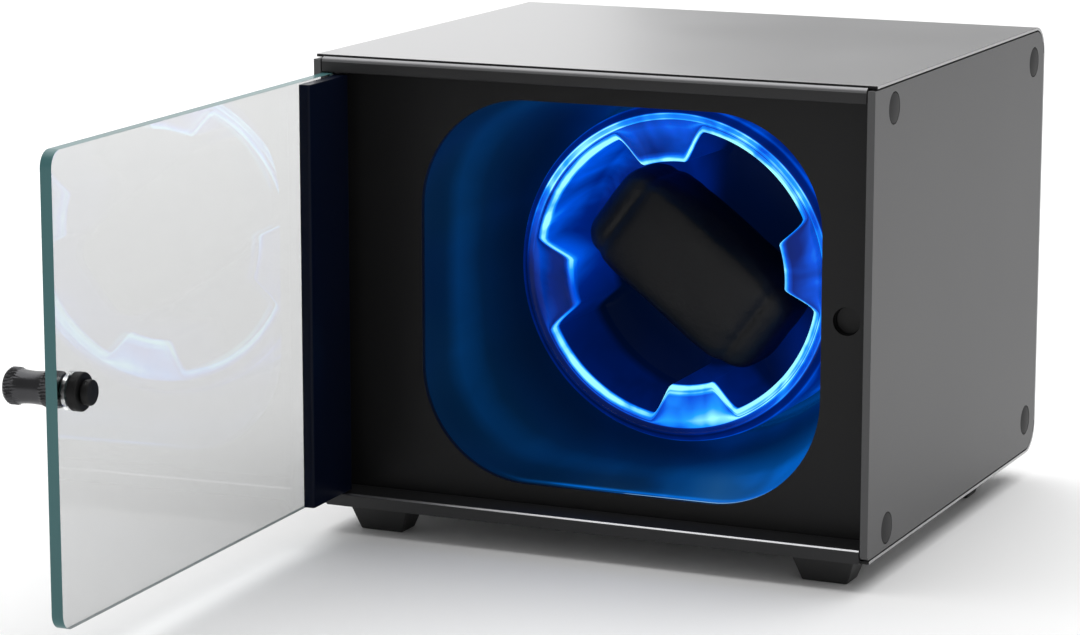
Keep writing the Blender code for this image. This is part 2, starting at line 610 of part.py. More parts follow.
clear_scene()
PARTS = make_collection("watch_winder_box")
CUTTERS = make_collection("cutters", helper=True)
MATERIALS = {name: make_material(name) for name in MATERIAL_LOOKS}
make_wrap()
make_side("left", "X")
make_side("right", "-X")
make_posts()
make_rails()
make_front_panel()
make_chamber()
DRUM_AXIS = make_drum()
make_pillow(DRUM_AXIS)
make_drive()
make_rear()
make_feet()
make_door()
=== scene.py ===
"""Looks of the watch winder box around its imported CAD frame: fine meshes, procedural materials, light and camera.

Outlines are in box millimetres, as the CAD is drawn: x from the left face, y from the front plane, z from the
underside. WORLD turns them into the row frame in metres. Door pieces are drawn closed and swung open by SWING.
"""

import json
import math

import bmesh
import bpy
from mathutils import Matrix, Vector, noise


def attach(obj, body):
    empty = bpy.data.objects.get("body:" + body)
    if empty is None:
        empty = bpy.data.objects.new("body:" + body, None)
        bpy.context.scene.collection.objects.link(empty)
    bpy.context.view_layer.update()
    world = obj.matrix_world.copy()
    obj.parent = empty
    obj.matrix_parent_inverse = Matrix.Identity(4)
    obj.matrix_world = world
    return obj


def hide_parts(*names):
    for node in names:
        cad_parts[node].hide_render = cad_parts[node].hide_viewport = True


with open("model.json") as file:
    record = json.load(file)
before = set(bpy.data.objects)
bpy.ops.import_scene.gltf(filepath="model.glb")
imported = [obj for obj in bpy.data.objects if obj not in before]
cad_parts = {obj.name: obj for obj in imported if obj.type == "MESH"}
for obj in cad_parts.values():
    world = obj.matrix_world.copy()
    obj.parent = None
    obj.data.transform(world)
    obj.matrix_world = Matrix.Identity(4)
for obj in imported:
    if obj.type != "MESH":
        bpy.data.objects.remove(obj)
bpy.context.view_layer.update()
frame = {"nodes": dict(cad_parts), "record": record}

WIDTH, DEPTH, HEIGHT = 155.0, 143.0, 121.0
SHEET, SEAM, SIDE = 0.8, 0.4, 2.0
WRAP_RADIUS = 8.0
WRAP_FRONT_TOP, WRAP_FRONT_LOW = 1.7, 1.5
REAR_WINDOW = ((45.0, 15.0), (110.0, 43.0), 3.0)
REAR_PLATE = ((41.0, 11.0), (114.0, 47.0), 4.0)
REAR_PLATE_Y = (140.1, 141.9)
INLET, INLET_HOLE = (58.0, 29.0), 4.3
SELECTOR, SELECTOR_HOLE = (94.0, 29.0), 3.4
INLET_FACE_Y, SELECTOR_FACE_Y = 142.2, 142.3
SHADED_LIP_AREA = 5e-4

DISC_RADIUS, DISC_HOLE = 3.95, 4.15
SIDE_SCREWS = {
    "front_top": (14.6, 114.0),
    "front_low": (14.6, 6.5),
    "rear_top": (133.0, 111.6),
    "rear_low": (133.2, 9.9),
}
RAIL_BACK, RAIL_NOSE = 10.2, 1.45
TOP_RAIL_Z, TOP_NOSE_Z = (116.6, 119.95), 119.05
LOW_RAIL_Z, LOW_RAIL_STEP, LOW_RAIL_CHAMFER = (0.1, 1.05, 3.7), 1.25, 0.45

AXIS_X, AXIS_Z = 82.0, 60.0
OPENING_Z, OPENING_HALF, OPENING_RADIUS = 59.7, (56.0, 51.0), 30.0
OPENING_STEPS = 176
PANEL_FRONT, PANEL_BACK, PANEL_MARGIN = 10.5, 12.0, (2.3, 1.2)
CATCH, CATCH_HOLE, CATCH_Y = (144.8, 59.8), 3.65, 14.5
CHAMBER_FRONT, CHAMBER_SIDE_END, CHAMBER_BACK = PANEL_BACK + 0.3, 84.0, 91.0
CHAMBER_RADIUS, CHAMBER_WALL, CHAMBER_RIM = 48.5, 1.2, 2.5
HUB_HOLE, CHAMBER_FLOOR_BACK = 6.5, 92.2
DRUM_FRONT, DRUM_BACK, CUP_FLOOR, DRUM_RADIUS = 51.0, 84.5, 84.0, 46.0
DRUM_WALL, CUP_WALL, FACE_RADIUS, CUP_BANDS = 1.8, 1.8, 41.9, 8
LOBE_RADIUS, TAB_RADIUS, TAB_ANGLES, TAB_TURN = 39.5, 30.5, (11.0, 18.5), 8.0
PILLOW_SIZE, PILLOW_DEPTH, PILLOW_TURN = (60.0, 26.0, 30.5), 16.15, -143.0
PILLOW_END_SEAM = 22.5

PIVOT, OPEN_ANGLE = (4.0, 2.2), 88.0
GLASS_LOW, GLASS_HIGH, GLASS_Y = (5.7, 4.0), (152.7, 116.3), (0.6, 3.6)
BAR_Z, BAR_END = (4.4, 115.9), 27.0
KNOB, KNOB_HOLE = (147.2, 60.2), 2.3
FEET = {
    "front_left": (15.2, 10.8),
    "front_right": (141.2, 10.8),
    "rear_left": (15.2, 109.0),
    "rear_right": (141.2, 109.0),
}
FOOT_TOP, FOOT_BOTTOM, FOOT_HEIGHT, FOOT_GAP = (17.4, 11.6), (12.2, 7.6), 7.4, 0.1
ORIGIN = Vector((FEET["front_right"][0] + 4.5, FEET["front_right"][1], -FOOT_HEIGHT))

CAMERA_PLACE, CAMERA_DOWN, CAMERA_TURN, CAMERA_LENS = (0.3706, -0.9157, 0.2410), 11.274, 24.41, 122.3
FLOOR_DROP = 0.0075

WORLD = Matrix.Scale(0.001, 4) @ Matrix.Translation(-ORIGIN)
PIN = Vector((*PIVOT, 0.0))
SWING = Matrix.Translation(PIN) @ Matrix.Rotation(math.radians(-OPEN_ANGLE), 4, "Z") @ Matrix.Translation(-PIN)
AXES = {"X": (1, 0, 0), "-X": (-1, 0, 0), "Y": (0, 1, 0), "-Y": (0, -1, 0), "Z": (0, 0, 1)}
FLAT = {
    "X": Matrix(((0, 0, 1), (1, 0, 0), (0, 1, 0))).to_4x4(),
    "Y": Matrix(((1, 0, 0), (0, 0, -1), (0, 1, 0))).to_4x4(),
    "Z": Matrix.Identity(4),
}
NODE_BODY = {n: b for b, members in frame["record"]["behaviour"]["bodies"].items() for n in members}
NODE_SLOT = {s["node"]: s["material_slot"] for s in frame["record"]["subparts"]}


# ---------------------------------------------------------------- materials


def new_material(name):
    material = bpy.data.materials.new(name)
    material.use_nodes = True
    tree = material.node_tree
    return material, tree, tree.nodes["Principled BSDF"]


def node(tree, kind, **values):
    made = tree.nodes.new(kind)
    for key, value in values.items():
        if key in made.inputs:
            made.inputs[key].default_value = value
        else:
            setattr(made, key, value)
    return made


def object_coordinates(tree, stretch=(1, 1, 1)):
    source = node(tree, "ShaderNodeTexCoord")
    mapping = node(tree, "ShaderNodeMapping", Scale=stretch)
    tree.links.new(source.outputs["Object"], mapping.inputs["Vector"])
    return mapping.outputs["Vector"]


def surface(name, color, metallic, roughness, spread, grain, bump, tint, stretch=(1, 1, 1), specular=0.5):
    """Satin surface: fine grain in the normal, cloudy colour and roughness variation."""
    material, tree, shader = new_material(name)
    shader.inputs["Metallic"].default_value = metallic
    shader.inputs["Specular IOR Level"].default_value = specular
    where = object_coordinates(tree, stretch)
    fine = node(tree, "ShaderNodeTexNoise", Scale=grain, Detail=3.0)
    cloud = node(tree, "ShaderNodeTexNoise", Scale=26.0, Detail=4.0)
    for texture in (fine, cloud):
        tree.links.new(where, texture.inputs["Vector"])
    rough = node(tree, "ShaderNodeMapRange")
    rough.inputs["To Min"].default_value = roughness - spread
    rough.inputs["To Max"].default_value = roughness + spread
    tree.links.new(cloud.outputs["Fac"], rough.inputs["Value"])
    tree.links.new(rough.outputs["Result"], shader.inputs["Roughness"])
    ramp = node(tree, "ShaderNodeValToRGB")
    ramp.color_ramp.elements[0].position = 0.3
    ramp.color_ramp.elements[1].position = 0.7
    ramp.color_ramp.elements[0].color = (*[c * (1 - tint) for c in color], 1)
    ramp.color_ramp.elements[1].color = (*[min(1.0, c * (1 + tint)) for c in color], 1)
    tree.links.new(cloud.outputs["Fac"], ramp.inputs["Fac"])
    tree.links.new(ramp.outputs["Color"], shader.inputs["Base Color"])
    bumps = node(tree, "ShaderNodeBump", Strength=bump, Distance=0.0002)
    tree.links.new(fine.outputs["Fac"], bumps.inputs["Height"])
    tree.links.new(bumps.outputs["Normal"], shader.inputs["Normal"])
    return material


def clear_material(name, color, roughness, haze):
    """Clear sheet with faint handling haze in its roughness."""
    material, tree, shader = new_material(name)
    shader.inputs["Base Color"].default_value = (*color, 1)
    shader.inputs["Transmission Weight"].default_value = 1.0
    shader.inputs["IOR"].default_value = 1.5
    cloud = node(tree, "ShaderNodeTexNoise", Scale=30.0, Detail=3.0)
    tree.links.new(object_coordinates(tree), cloud.inputs["Vector"])
    rough = node(tree, "ShaderNodeMapRange")
    rough.inputs["To Min"].default_value = roughness
    rough.inputs["To Max"].default_value = roughness + haze
    tree.links.new(cloud.outputs["Fac"], rough.inputs["Value"])
    tree.links.new(rough.outputs["Result"], shader.inputs["Roughness"])
    return material


def lit_material(name, stops, base, strength, roughness, painted_streak, coat, specular):
    """Emitting plastic: a light value on the mesh, broken up by soft streaks of painted reflection, sets the emitted
    colour; on the edge-lit drum it is the plastic's own edge light together with painted highlights and shade, on the
    bowl painted light only.
    """
    material, tree, shader = new_material(name)
    shader.inputs["Base Color"].default_value = (*base, 1)
    shader.inputs["Roughness"].default_value = roughness
    shader.inputs["Specular IOR Level"].default_value = specular
    shader.inputs["Coat Weight"].default_value = coat
    shader.inputs["Coat Roughness"].default_value = 0.03
    glow_and_painted_light = node(tree, "ShaderNodeAttribute", attribute_name="glow_and_painted_light")
    # The noise streaks in the emitted colour are painted reflections, as on glossy clear plastic.
    painted_streaks = node(tree, "ShaderNodeTexNoise", Scale=48.0, Detail=2.5, Distortion=1.6)
    tree.links.new(object_coordinates(tree, (1.0, 0.35, 1.0)), painted_streaks.inputs["Vector"])
    spread = node(tree, "ShaderNodeMapRange")
    spread.inputs["From Min"].default_value = 0.3
    spread.inputs["From Max"].default_value = 0.7
    spread.inputs["To Min"].default_value = 1.0 - painted_streak
    spread.inputs["To Max"].default_value = 1.0 + painted_streak
    tree.links.new(painted_streaks.outputs["Fac"], spread.inputs["Value"])
    product = node(tree, "ShaderNodeMath", operation="MULTIPLY")
    tree.links.new(glow_and_painted_light.outputs["Fac"], product.inputs[0])
    tree.links.new(spread.outputs["Result"], product.inputs[1])
    ramp = node(tree, "ShaderNodeValToRGB")
    elements = ramp.color_ramp.elements
    while len(elements) < len(stops):
        elements.new(0.5)
    for element, (position, color) in zip(elements, stops):
        element.position = position
        element.color = (*color, 1)
    tree.links.new(product.outputs["Value"], ramp.inputs["Fac"])
    tree.links.new(ramp.outputs["Color"], shader.inputs["Emission Color"])
    shader.inputs["Emission Strength"].default_value = strength
    return material


# Emitted colours of the drum: the blue edge light of the clear plastic, with painted shade at the dark end and painted
# cyan-white highlights at the bright end.
DRUM_GLOW_AND_PAINTED_LIGHT_STOPS = [
    (0.0, (0.0, 0.002, 0.012)),
    (0.25, (0.0, 0.012, 0.16)),
    (0.5, (0.0, 0.07, 0.62)),
    (0.75, (0.01, 0.3, 1.0)),
    (1.0, (0.30, 0.88, 1.0)),
]
# Emitted colours of the black bowl: painted light from the drum and lamp, with a painted pale highlight at the bright
# end.
CHAMBER_PAINTED_LIGHT_STOPS = [
    (0.0, (0.0, 0.001, 0.004)),
    (0.35, (0.0, 0.010, 0.035)),
    (0.7, (0.0, 0.045, 0.18)),
    (0.9, (0.0, 0.12, 0.55)),
    (1.0, (0.25, 0.5, 0.85)),
]
GLASS_TINT = (0.65, 0.655, 0.655)
LIGHT_STOPS = [(0.0, (0.0, 0.2, 1.0)), (1.0, (0.0, 0.2, 1.0))]
LOOKS = {
    "satin_aluminium": surface("satin_aluminium_skin", (0.40, 0.40, 0.405), 1.0, 0.36, 0.03, 3200.0, 0.05, 0.02),
    "frame_steel": surface("frame_steel_skin", (0.45, 0.45, 0.46), 1.0, 0.38, 0.08, 600.0, 0.1, 0.06, (1, 1, 0.1)),
    "gear_plastic": surface("gear_plastic_skin", (0.55, 0.54, 0.50), 0.0, 0.45, 0.06, 900.0, 0.05, 0.05),
    "motor_steel": surface("motor_steel_skin", (0.55, 0.55, 0.56), 1.0, 0.3, 0.06, 900.0, 0.08, 0.05),
    "bush_brass": surface("bush_brass_skin", (0.72, 0.52, 0.22), 1.0, 0.3, 0.06, 900.0, 0.08, 0.06),
    "board_green": surface("board_green_skin", (0.02, 0.15, 0.06), 0.0, 0.4, 0.06, 500.0, 0.1, 0.2),
    "knob_steel": surface("knob_steel_skin", (0.055, 0.055, 0.058), 1.0, 0.26, 0.06, 900.0, 0.12, 0.12, (4, 1, 1)),
    "glass_clear": clear_material("glass_clear_skin", GLASS_TINT, 0.003, 0.006),
    "washer_clear": clear_material("washer_clear_skin", (0.85, 0.87, 0.87), 0.08, 0.05),
    "drum_blue": lit_material("drum_blue_skin", DRUM_GLOW_AND_PAINTED_LIGHT_STOPS, (0.0, 0.003, 0.012), 1.25, 0.1, 0.3, 0.02, 0.1),
    "chamber_black": lit_material("chamber_skin", CHAMBER_PAINTED_LIGHT_STOPS, (0.002, 0.006, 0.014), 1.0, 0.33, 0.06, 0.0, 0.3),
    "led_blue": lit_material("led_skin", LIGHT_STOPS, (0.1, 0.4, 0.9), 4.0, 0.1, 0.3, 0.02, 0.1),
}
# colour, metallic, roughness, its spread, grain, bump, tint, specular
DARK_PAINTS = {
    "side_grey": ((0.090, 0.090, 0.092), 0.3, 0.45, 0.03, 3200.0, 0.06, 0.04, 0.35),
    "disc_grey": ((0.030, 0.030, 0.031), 0.0, 0.6, 0.05, 1500.0, 0.15, 0.12, 0.15),
    "rail_grey": ((0.020, 0.020, 0.021), 0.0, 0.4, 0.04, 3000.0, 0.05, 0.05, 0.35),
    "panel_black": ((0.008, 0.008, 0.0085), 0.0, 0.45, 0.04, 2600.0, 0.06, 0.08, 0.25),
    # The navy tint in the hinge bar's black is painted reflection of the bowl's blue light.
    "bar_black": ((0.002, 0.004, 0.013), 0.0, 0.3, 0.04, 2600.0, 0.03, 0.08, 0.08),
    "rubber_black": ((0.005, 0.005, 0.0052), 0.0, 0.5, 0.08, 1800.0, 0.15, 0.15, 0.2),
    "pillow_fabric": ((0.009, 0.009, 0.0095), 0.0, 0.5, 0.08, 900.0, 0.5, 0.25, 0.35),
}
SKIN_NAMES = {"pillow_fabric": "pillow_skin"}
for slot_name, (*values, shine) in DARK_PAINTS.items():
    LOOKS[slot_name] = surface(SKIN_NAMES.get(slot_name, f"{slot_name}_skin"), *values, specular=shine)
# Darker, duller copy of the drum's look for the deep cup bands: painted shade.
SHADED_DEEP_BLUE = lit_material("drum_deep_shaded_skin", DRUM_GLOW_AND_PAINTED_LIGHT_STOPS, (0.0, 0.001, 0.004), 1.25, 0.3, 0.28, 0.0, 0.04)
EDGE_TEAL = surface("glass_edge_skin", (0.055, 0.150, 0.155), 0.0, 0.3, 0.05, 700.0, 0.03, 0.2, (1, 1, 0.2), 0.3)
BRIGHT_EDGE = surface("bright_edge_skin", (0.40, 0.40, 0.41), 1.0, 0.28, 0.04, 2200.0, 0.03, 0.03)
SATIN_EDGE = surface("satin_edge_skin", (0.20, 0.20, 0.205), 1.0, 0.42, 0.03, 3000.0, 0.05, 0.03)
FOOT_RUBBER = surface("foot_rubber_skin", (0.020, 0.020, 0.0205), 0.0, 0.5, 0.08, 1800.0, 0.12, 0.1, specular=0.4)

# ---------------------------------------------------------------- shapes


def arc(centre, radius, start, end, steps=24):
    angles = [math.radians(start + (end - start) * i / steps) for i in range(steps + 1)]
    return [(centre[0] + radius * math.cos(a), centre[1] + radius * math.sin(a)) for a in angles]


def full_turn(steps):
    return [2 * math.pi * i / steps for i in range(steps)]


def circle(centre, radius, steps):
    return arc(centre, radius, 0, 360, steps)[:-1]


def rounded_rectangle(low, high, radii, steps=12):
    corners = [(low[0], low[1], 180), (high[0], low[1], 270), (high[0], high[1], 0), (low[0], high[1], 90)]
    points = []
    for (u, v, start), radius in zip(corners, radii):
        if radius == 0:
            points.append((u, v))
            continue
        centre = (u + radius * (1 if u == low[0] else -1), v + radius * (1 if v == low[1] else -1))
        points += arc(centre, radius, start, start + 90, steps)
    return points


def eased(profile, radius, steps=3):
    """Profile with its inner corners rounded over at most this distance."""
    points = [profile[0]]
    for before, here, after in zip(profile, profile[1:], profile[2:]):
        b, h, a = Vector(before), Vector(here), Vector(after)
        first = h + (b - h).normalized() * min(radius, (b - h).length * 0.45)
        last = h + (a - h).normalized() * min(radius, (a - h).length * 0.45)
        for i in range(steps + 1):
            t = i / steps
            points.append(tuple(first * (1 - t) ** 2 + h * 2 * t * (1 - t) + last * t * t))
    return [*points, profile[-1]]


def piece(name, bm, nodes, smooth=35, material=None, swung=False):
    """Object from a bmesh in box millimetres that stands for the CAD nodes and rides on their body."""
    bm.normal_update()
    bmesh.ops.recalc_face_normals(bm, faces=bm.faces)
    bm.transform(WORLD @ SWING if swung else WORLD)
    mesh = bpy.data.meshes.new(name)
    bm.to_mesh(mesh)
    bm.free()
    mesh.shade_smooth()
    mesh.set_sharp_from_angle(angle=math.radians(smooth))
    obj = bpy.data.objects.new(name, mesh)
    bpy.context.scene.collection.objects.link(obj)
    slot = NODE_SLOT[nodes[0]]
    mesh.materials.append(material or LOOKS[slot])
    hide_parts(*nodes)
    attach(obj, NODE_BODY[nodes[0]])
    return obj


def soften(obj, width, segments):
    """Rounded edges of this width in millimetres."""
    bevel = obj.modifiers.new("Softened edges", "BEVEL")
    bevel.width = width * 0.001
    bevel.segments = segments
    bevel.limit_method = "ANGLE"
    bevel.angle_limit = math.radians(30)
    bevel.harden_normals = True
    return obj


def evaluated_mesh(obj):
    bpy.context.view_layer.update()
    return bpy.data.meshes.new_from_object(obj.evaluated_get(bpy.context.evaluated_depsgraph_get()))


def sheet(loops, axis, start, end):
    """Flat outline with holes, thick from start to end along the axis, as a bmesh."""
    curve = bpy.data.curves.new("outline", "CURVE")
    curve.dimensions = "2D"
    curve.fill_mode = "BOTH"
    curve.extrude = (end - start) / 2
    for loop in loops:
        spline = curve.splines.new("POLY")
        spline.points.add(len(loop) - 1)
        spline.use_cyclic_u = True
        for point, (u, v) in zip(spline.points, loop):
            point.co = (u, v, 0.0, 1.0)
    guide = bpy.data.objects.new("outline", curve)
    bpy.context.scene.collection.objects.link(guide)
    flat = evaluated_mesh(guide)
    bpy.data.objects.remove(guide)
    bm = bmesh.new()
    bm.from_mesh(flat)
    bpy.data.meshes.remove(flat)
    bmesh.ops.remove_doubles(bm, verts=bm.verts, dist=0.001)
    bmesh.ops.dissolve_limit(bm, angle_limit=math.radians(0.3), verts=bm.verts, edges=bm.edges)
    middle = Vector(AXES[axis]) * (start + end) / 2
    bm.transform(Matrix.Translation(middle) @ FLAT[axis])
    return bm


def lathe(profile, centre, direction, steps=96, ring=False, wave=None):
    """Body of revolution of (radius, height) points; wave(angle, radius, height) may move a point's radius."""
    bm = bmesh.new()
    turn = Vector(AXES[direction]).to_track_quat("Z", "Y").to_matrix().to_4x4()
    place = Matrix.Translation(Vector(centre)) @ turn
    rows = []
    for radius, height in profile:
        if radius < 1e-6:
            rows.append([bm.verts.new(place @ Vector((0, 0, height)))])
            continue
        row = []
        for i in range(steps):
            angle = 2 * math.pi * i / steps
            r = wave(angle, radius, height) if wave else radius
            row.append(bm.verts.new(place @ Vector((r * math.cos(angle), r * math.sin(angle), height))))
        rows.append(row)
    pairs = list(zip(rows, rows[1:]))
    if ring:
        pairs.append((rows[-1], rows[0]))
    for here, after in pairs:
        for i in range(steps):
            j = (i + 1) % steps
            corners = [here[i % len(here)], here[j % len(here)], after[j % len(after)], after[i % len(after)]]
            corners = list(dict.fromkeys(corners))
            if len(corners) > 2:
                bm.faces.new(corners)
    return bm


def loft(rings, glow_and_painted_light):
    """Ring-shaped closed body through rings of points, the last joined to the first, with one emitted light value a
    point: edge light together with painted light.
    """
    bm = bmesh.new()
    layer = bm.verts.layers.float.new("glow_and_painted_light")
    rows = []
    for index, ring in enumerate(rings):
        row = [bm.verts.new(point) for point in ring]
        for i, vertex in enumerate(row):
            vertex[layer] = glow_and_painted_light[index][i]
        rows.append(row)
    for here, after in zip(rows, rows[1:] + rows[:1]):
        for i in range(len(here)):
            j = (i + 1) % len(here)
            bm.faces.new((here[i], here[j], after[j], after[i]))
    return bm


# ---------------------------------------------------------------- case


def make_wrap():
    low, high = (DEPTH - WRAP_RADIUS, WRAP_RADIUS), (DEPTH - WRAP_RADIUS, HEIGHT - WRAP_RADIUS)
    inner = WRAP_RADIUS - SHEET
    outline = [(WRAP_FRONT_LOW, 0), *arc(low, WRAP_RADIUS, -90, 0), *arc(high, WRAP_RADIUS, 0, 90)]
    outline += [(WRAP_FRONT_TOP, HEIGHT), (WRAP_FRONT_TOP, HEIGHT - SHEET)]
    outline += [*arc(high, inner, 90, 0), *arc(low, inner, 0, -90), (WRAP_FRONT_LOW, SHEET)]
    wrap = piece("wrap_shell", sheet([outline], "X", 0, WIDTH), ["outer_wrap"], smooth=30)
    wrap.data.materials.append(LOOKS["panel_black"])
    # The thin front-facing lip faces take the black panel paint: painted shade where the lips sit in shadow.
    for face in wrap.data.polygons:
        face.material_index = 1 if face.normal.y < -0.9 and face.area < SHADED_LIP_AREA else 0
    low, high, radius = REAR_WINDOW
    window = sheet([rounded_rectangle(low, high, [radius] * 4)], "Y", DEPTH - 5, DEPTH + 5)
    window.normal_update()
    bmesh.ops.recalc_face_normals(window, faces=window.faces)
    window.transform(WORLD)
    mesh = bpy.data.meshes.new("window")
    window.to_mesh(mesh)
    window.free()
    cutter = bpy.data.objects.new("window", mesh)
    bpy.context.scene.collection.objects.link(cutter)
    boolean = wrap.modifiers.new("Window", "BOOLEAN")
    boolean.object = cutter
    boolean.solver = "EXACT"
    cut = evaluated_mesh(wrap)
    wrap.modifiers.clear()
    wrap.data = cut
    cut.shade_smooth()
    cut.set_sharp_from_angle(angle=math.radians(30))
    bpy.data.objects.remove(cutter)
    soften(wrap, 0.12, 2)


def make_sides():
    edge = SHEET + SEAM
    rear_radius = WRAP_RADIUS - edge
    outline = rounded_rectangle((0, edge), (DEPTH - edge, HEIGHT - edge), [1.5, rear_radius, rear_radius, 0])
    holes = [circle(centre, DISC_HOLE, 48) for centre in SIDE_SCREWS.values()]
    profile = eased([(0, 0), (DISC_RADIUS, 0), (DISC_RADIUS, -1.0), (1.5, -1.0), (1.5, -9.0), (0, -9.0)], 0.15, 2)
    for side, start, face, outward in (("left", 0, 0, "-X"), ("right", WIDTH - SIDE, WIDTH, "X")):
        panel = piece(f"{side}_panel", sheet([outline, *holes], "X", start, start + SIDE), [f"{side}_side_panel"])
        soften(panel, 0.12, 2)
        for place, (y, z) in SIDE_SCREWS.items():
            name = f"{side}_{place}"
            piece(f"{name}_disc", lathe(profile, (face, y, z), outward, 48), [f"{name}_screw"])


def make_rails():
    x0, x1 = SIDE + 0.3, WIDTH - SIDE - 0.3
    bottom, ceiling = TOP_RAIL_Z
    top = [(0, bottom), (RAIL_BACK, bottom), (RAIL_BACK, ceiling), (RAIL_NOSE, ceiling)]
    top += arc((RAIL_NOSE, TOP_NOSE_Z), RAIL_NOSE, 90, 180, 10)
    bottom, step, ceiling = LOW_RAIL_Z
    low = [(0, bottom), (LOW_RAIL_STEP, bottom), (LOW_RAIL_STEP, step), (RAIL_BACK, step), (RAIL_BACK, ceiling)]
    low += [(LOW_RAIL_CHAMFER, ceiling), (0, ceiling - LOW_RAIL_CHAMFER)]
    for name, section, skin in (("top_rail", top, SATIN_EDGE), ("bottom_rail", low, BRIGHT_EDGE)):
        rail = piece(f"{name}_bar", sheet([section], "X", x0, x1), [name])
        rail.data.materials.append(skin)
        for face in rail.data.polygons:
            if face.normal.y < -0.1 and face.normal.z > 0.1:
                face.material_index = 1
        soften(rail, 0.12, 2)


def opening_point(angle, grow=0.0):
    half_u, half_v = OPENING_HALF[0] + grow, OPENING_HALF[1] + grow
    radius = OPENING_RADIUS + grow
    c, s = abs(math.cos(angle)), abs(math.sin(angle))
    reach = min(half_u / c if c > 1e-9 else math.inf, half_v / s if s > 1e-9 else math.inf)
    corner = Vector((half_u - radius, half_v - radius))
    if reach * c > corner.x and reach * s > corner.y:
        along = c * corner.x + s * corner.y
        reach = along + math.sqrt(along * along - corner.length_squared + radius * radius)
    return reach * math.cos(angle), reach * math.sin(angle)


def make_front_panel():
    corner = (WIDTH - PANEL_MARGIN[0], HEIGHT - PANEL_MARGIN[1])
    outline = rounded_rectangle(PANEL_MARGIN, corner, [0] * 4)
    opening = [(AXIS_X + u, OPENING_Z + v) for u, v in map(opening_point, full_turn(OPENING_STEPS))]
    panel = sheet([outline, opening, circle(CATCH, CATCH_HOLE, 64)], "Y", PANEL_FRONT, PANEL_BACK)
    soften(piece("black_panel", panel, ["front_panel"]), 0.2, 2)
    cup = [(0, 0), (4.2, 0), (4.2, -2.2), (CATCH_HOLE, -2.2), (3.6, -1.5), (3.2, -1.25), (0, -1.15)]
    piece("catch_dish", lathe(eased(cup, 0.15, 2), (CATCH[0], CATCH_Y, CATCH[1]), "Y", 64), ["catch_cup"])


def chamber_painted_light(x, y, z, at_lip):
    """Painted light on the bowl, sent out as emission: a soft band half way in, darker towards the back, more at the
    lower right, a painted highlight on the left, a painted highlight streak and a fine painted highlight line at the
    lip.
    """
    low = max(0.0, (AXIS_Z - z) / 50.0)
    right = max(0.0, (x - AXIS_X) / OPENING_HALF[0])
    left = max(0.0, (AXIS_X - x) / OPENING_HALF[0])
    inward = y - CHAMBER_FRONT
    back = min(1.0, inward / 45.0)
    value = 0.27 + 0.17 * math.exp(-(((back - 0.5) / 0.22) ** 2)) - 0.12 * back**3
    value += (0.8 - 0.35 * back) * low * right
    value += 0.10 * left**3 * math.exp(-(((back - 0.38) / 0.1) ** 2))
    painted_streak = math.exp(-(((inward - 2.2) / 1.3) ** 2)) * math.exp(-(((x - AXIS_X - 4.0) / 26.0) ** 2))
    value = min(value + 1.1 * low**6 * painted_streak, 0.88)
    if at_lip:
        toward = (0.5 * (x - AXIS_X) - 0.87 * (z - OPENING_Z)) / 50.0
        value = max(value, 1.3 * max(0.0, toward) ** 3)
    return value


def make_chamber():
    angles = full_turn(OPENING_STEPS)
    front, side_end = CHAMBER_FRONT, CHAMBER_SIDE_END

    def section(y, grow):
        """Ring that turns from the opening's outline into a circle with depth."""
        depth = min(1.0, (y - front) / (side_end - front))
        blend = depth * depth * (3 - 2 * depth)
        ring = []
        for angle in angles:
            u, v = opening_point(angle, grow)
            radius = CHAMBER_RADIUS + grow
            x = AXIS_X + u + (radius * math.cos(angle) - u) * blend
            z = OPENING_Z + (AXIS_Z - OPENING_Z) * blend + v + (radius * math.sin(angle) - v) * blend
            ring.append((x, y, z))
        return ring

    def round_ring(inset, y):
        radius = CHAMBER_RADIUS - inset
        return [(AXIS_X + radius * math.cos(a), y, AXIS_Z + radius * math.sin(a)) for a in angles]

    depths = [front + (side_end - front) * i / 16 for i in range(17)]
    rings = [section(y, 0.0) for y in (front, front + 0.35, front + 1.3, front + 2.4, *depths[1:])]
    floor = [(0.3, 86.3), (1.6, 88.9), (3.6, 90.5), (6.0, CHAMBER_BACK), (CHAMBER_RADIUS - HUB_HOLE, CHAMBER_BACK)]
    rings += [round_ring(inset, y) for inset, y in [*floor, (CHAMBER_RADIUS - HUB_HOLE, CHAMBER_FLOOR_BACK)]]
    lit = len(rings)
    rings += [round_ring(5.6, CHAMBER_FLOOR_BACK), round_ring(0.6, 89.6)]
    rings += [section(y, CHAMBER_WALL) for y in (side_end, depths[8], depths[3], front + CHAMBER_WALL)]
    rings += [section(front + CHAMBER_WALL, CHAMBER_RIM), section(front, CHAMBER_RIM)]
    glow_and_painted_light = [[chamber_painted_light(*point, index == 0) for point in ring] for index, ring in enumerate(rings[:lit])]
    glow_and_painted_light += [[0.0] * len(ring) for ring in rings[lit:]]
    piece("chamber_bowl", loft(rings, glow_and_painted_light), ["chamber_liner"], smooth=50)


# ---------------------------------------------------------------- drum


def lobed_radius(angle, grow=0.0):
    quarter = (math.degrees(angle) - TAB_TURN) % 90
    from_tab = min(quarter, 90 - quarter)
    t = min(1.0, max(0.0, (from_tab - TAB_ANGLES[0]) / (TAB_ANGLES[1] - TAB_ANGLES[0])))
    return TAB_RADIUS + (LOBE_RADIUS - TAB_RADIUS) * t * t * (3 - 2 * t) + grow


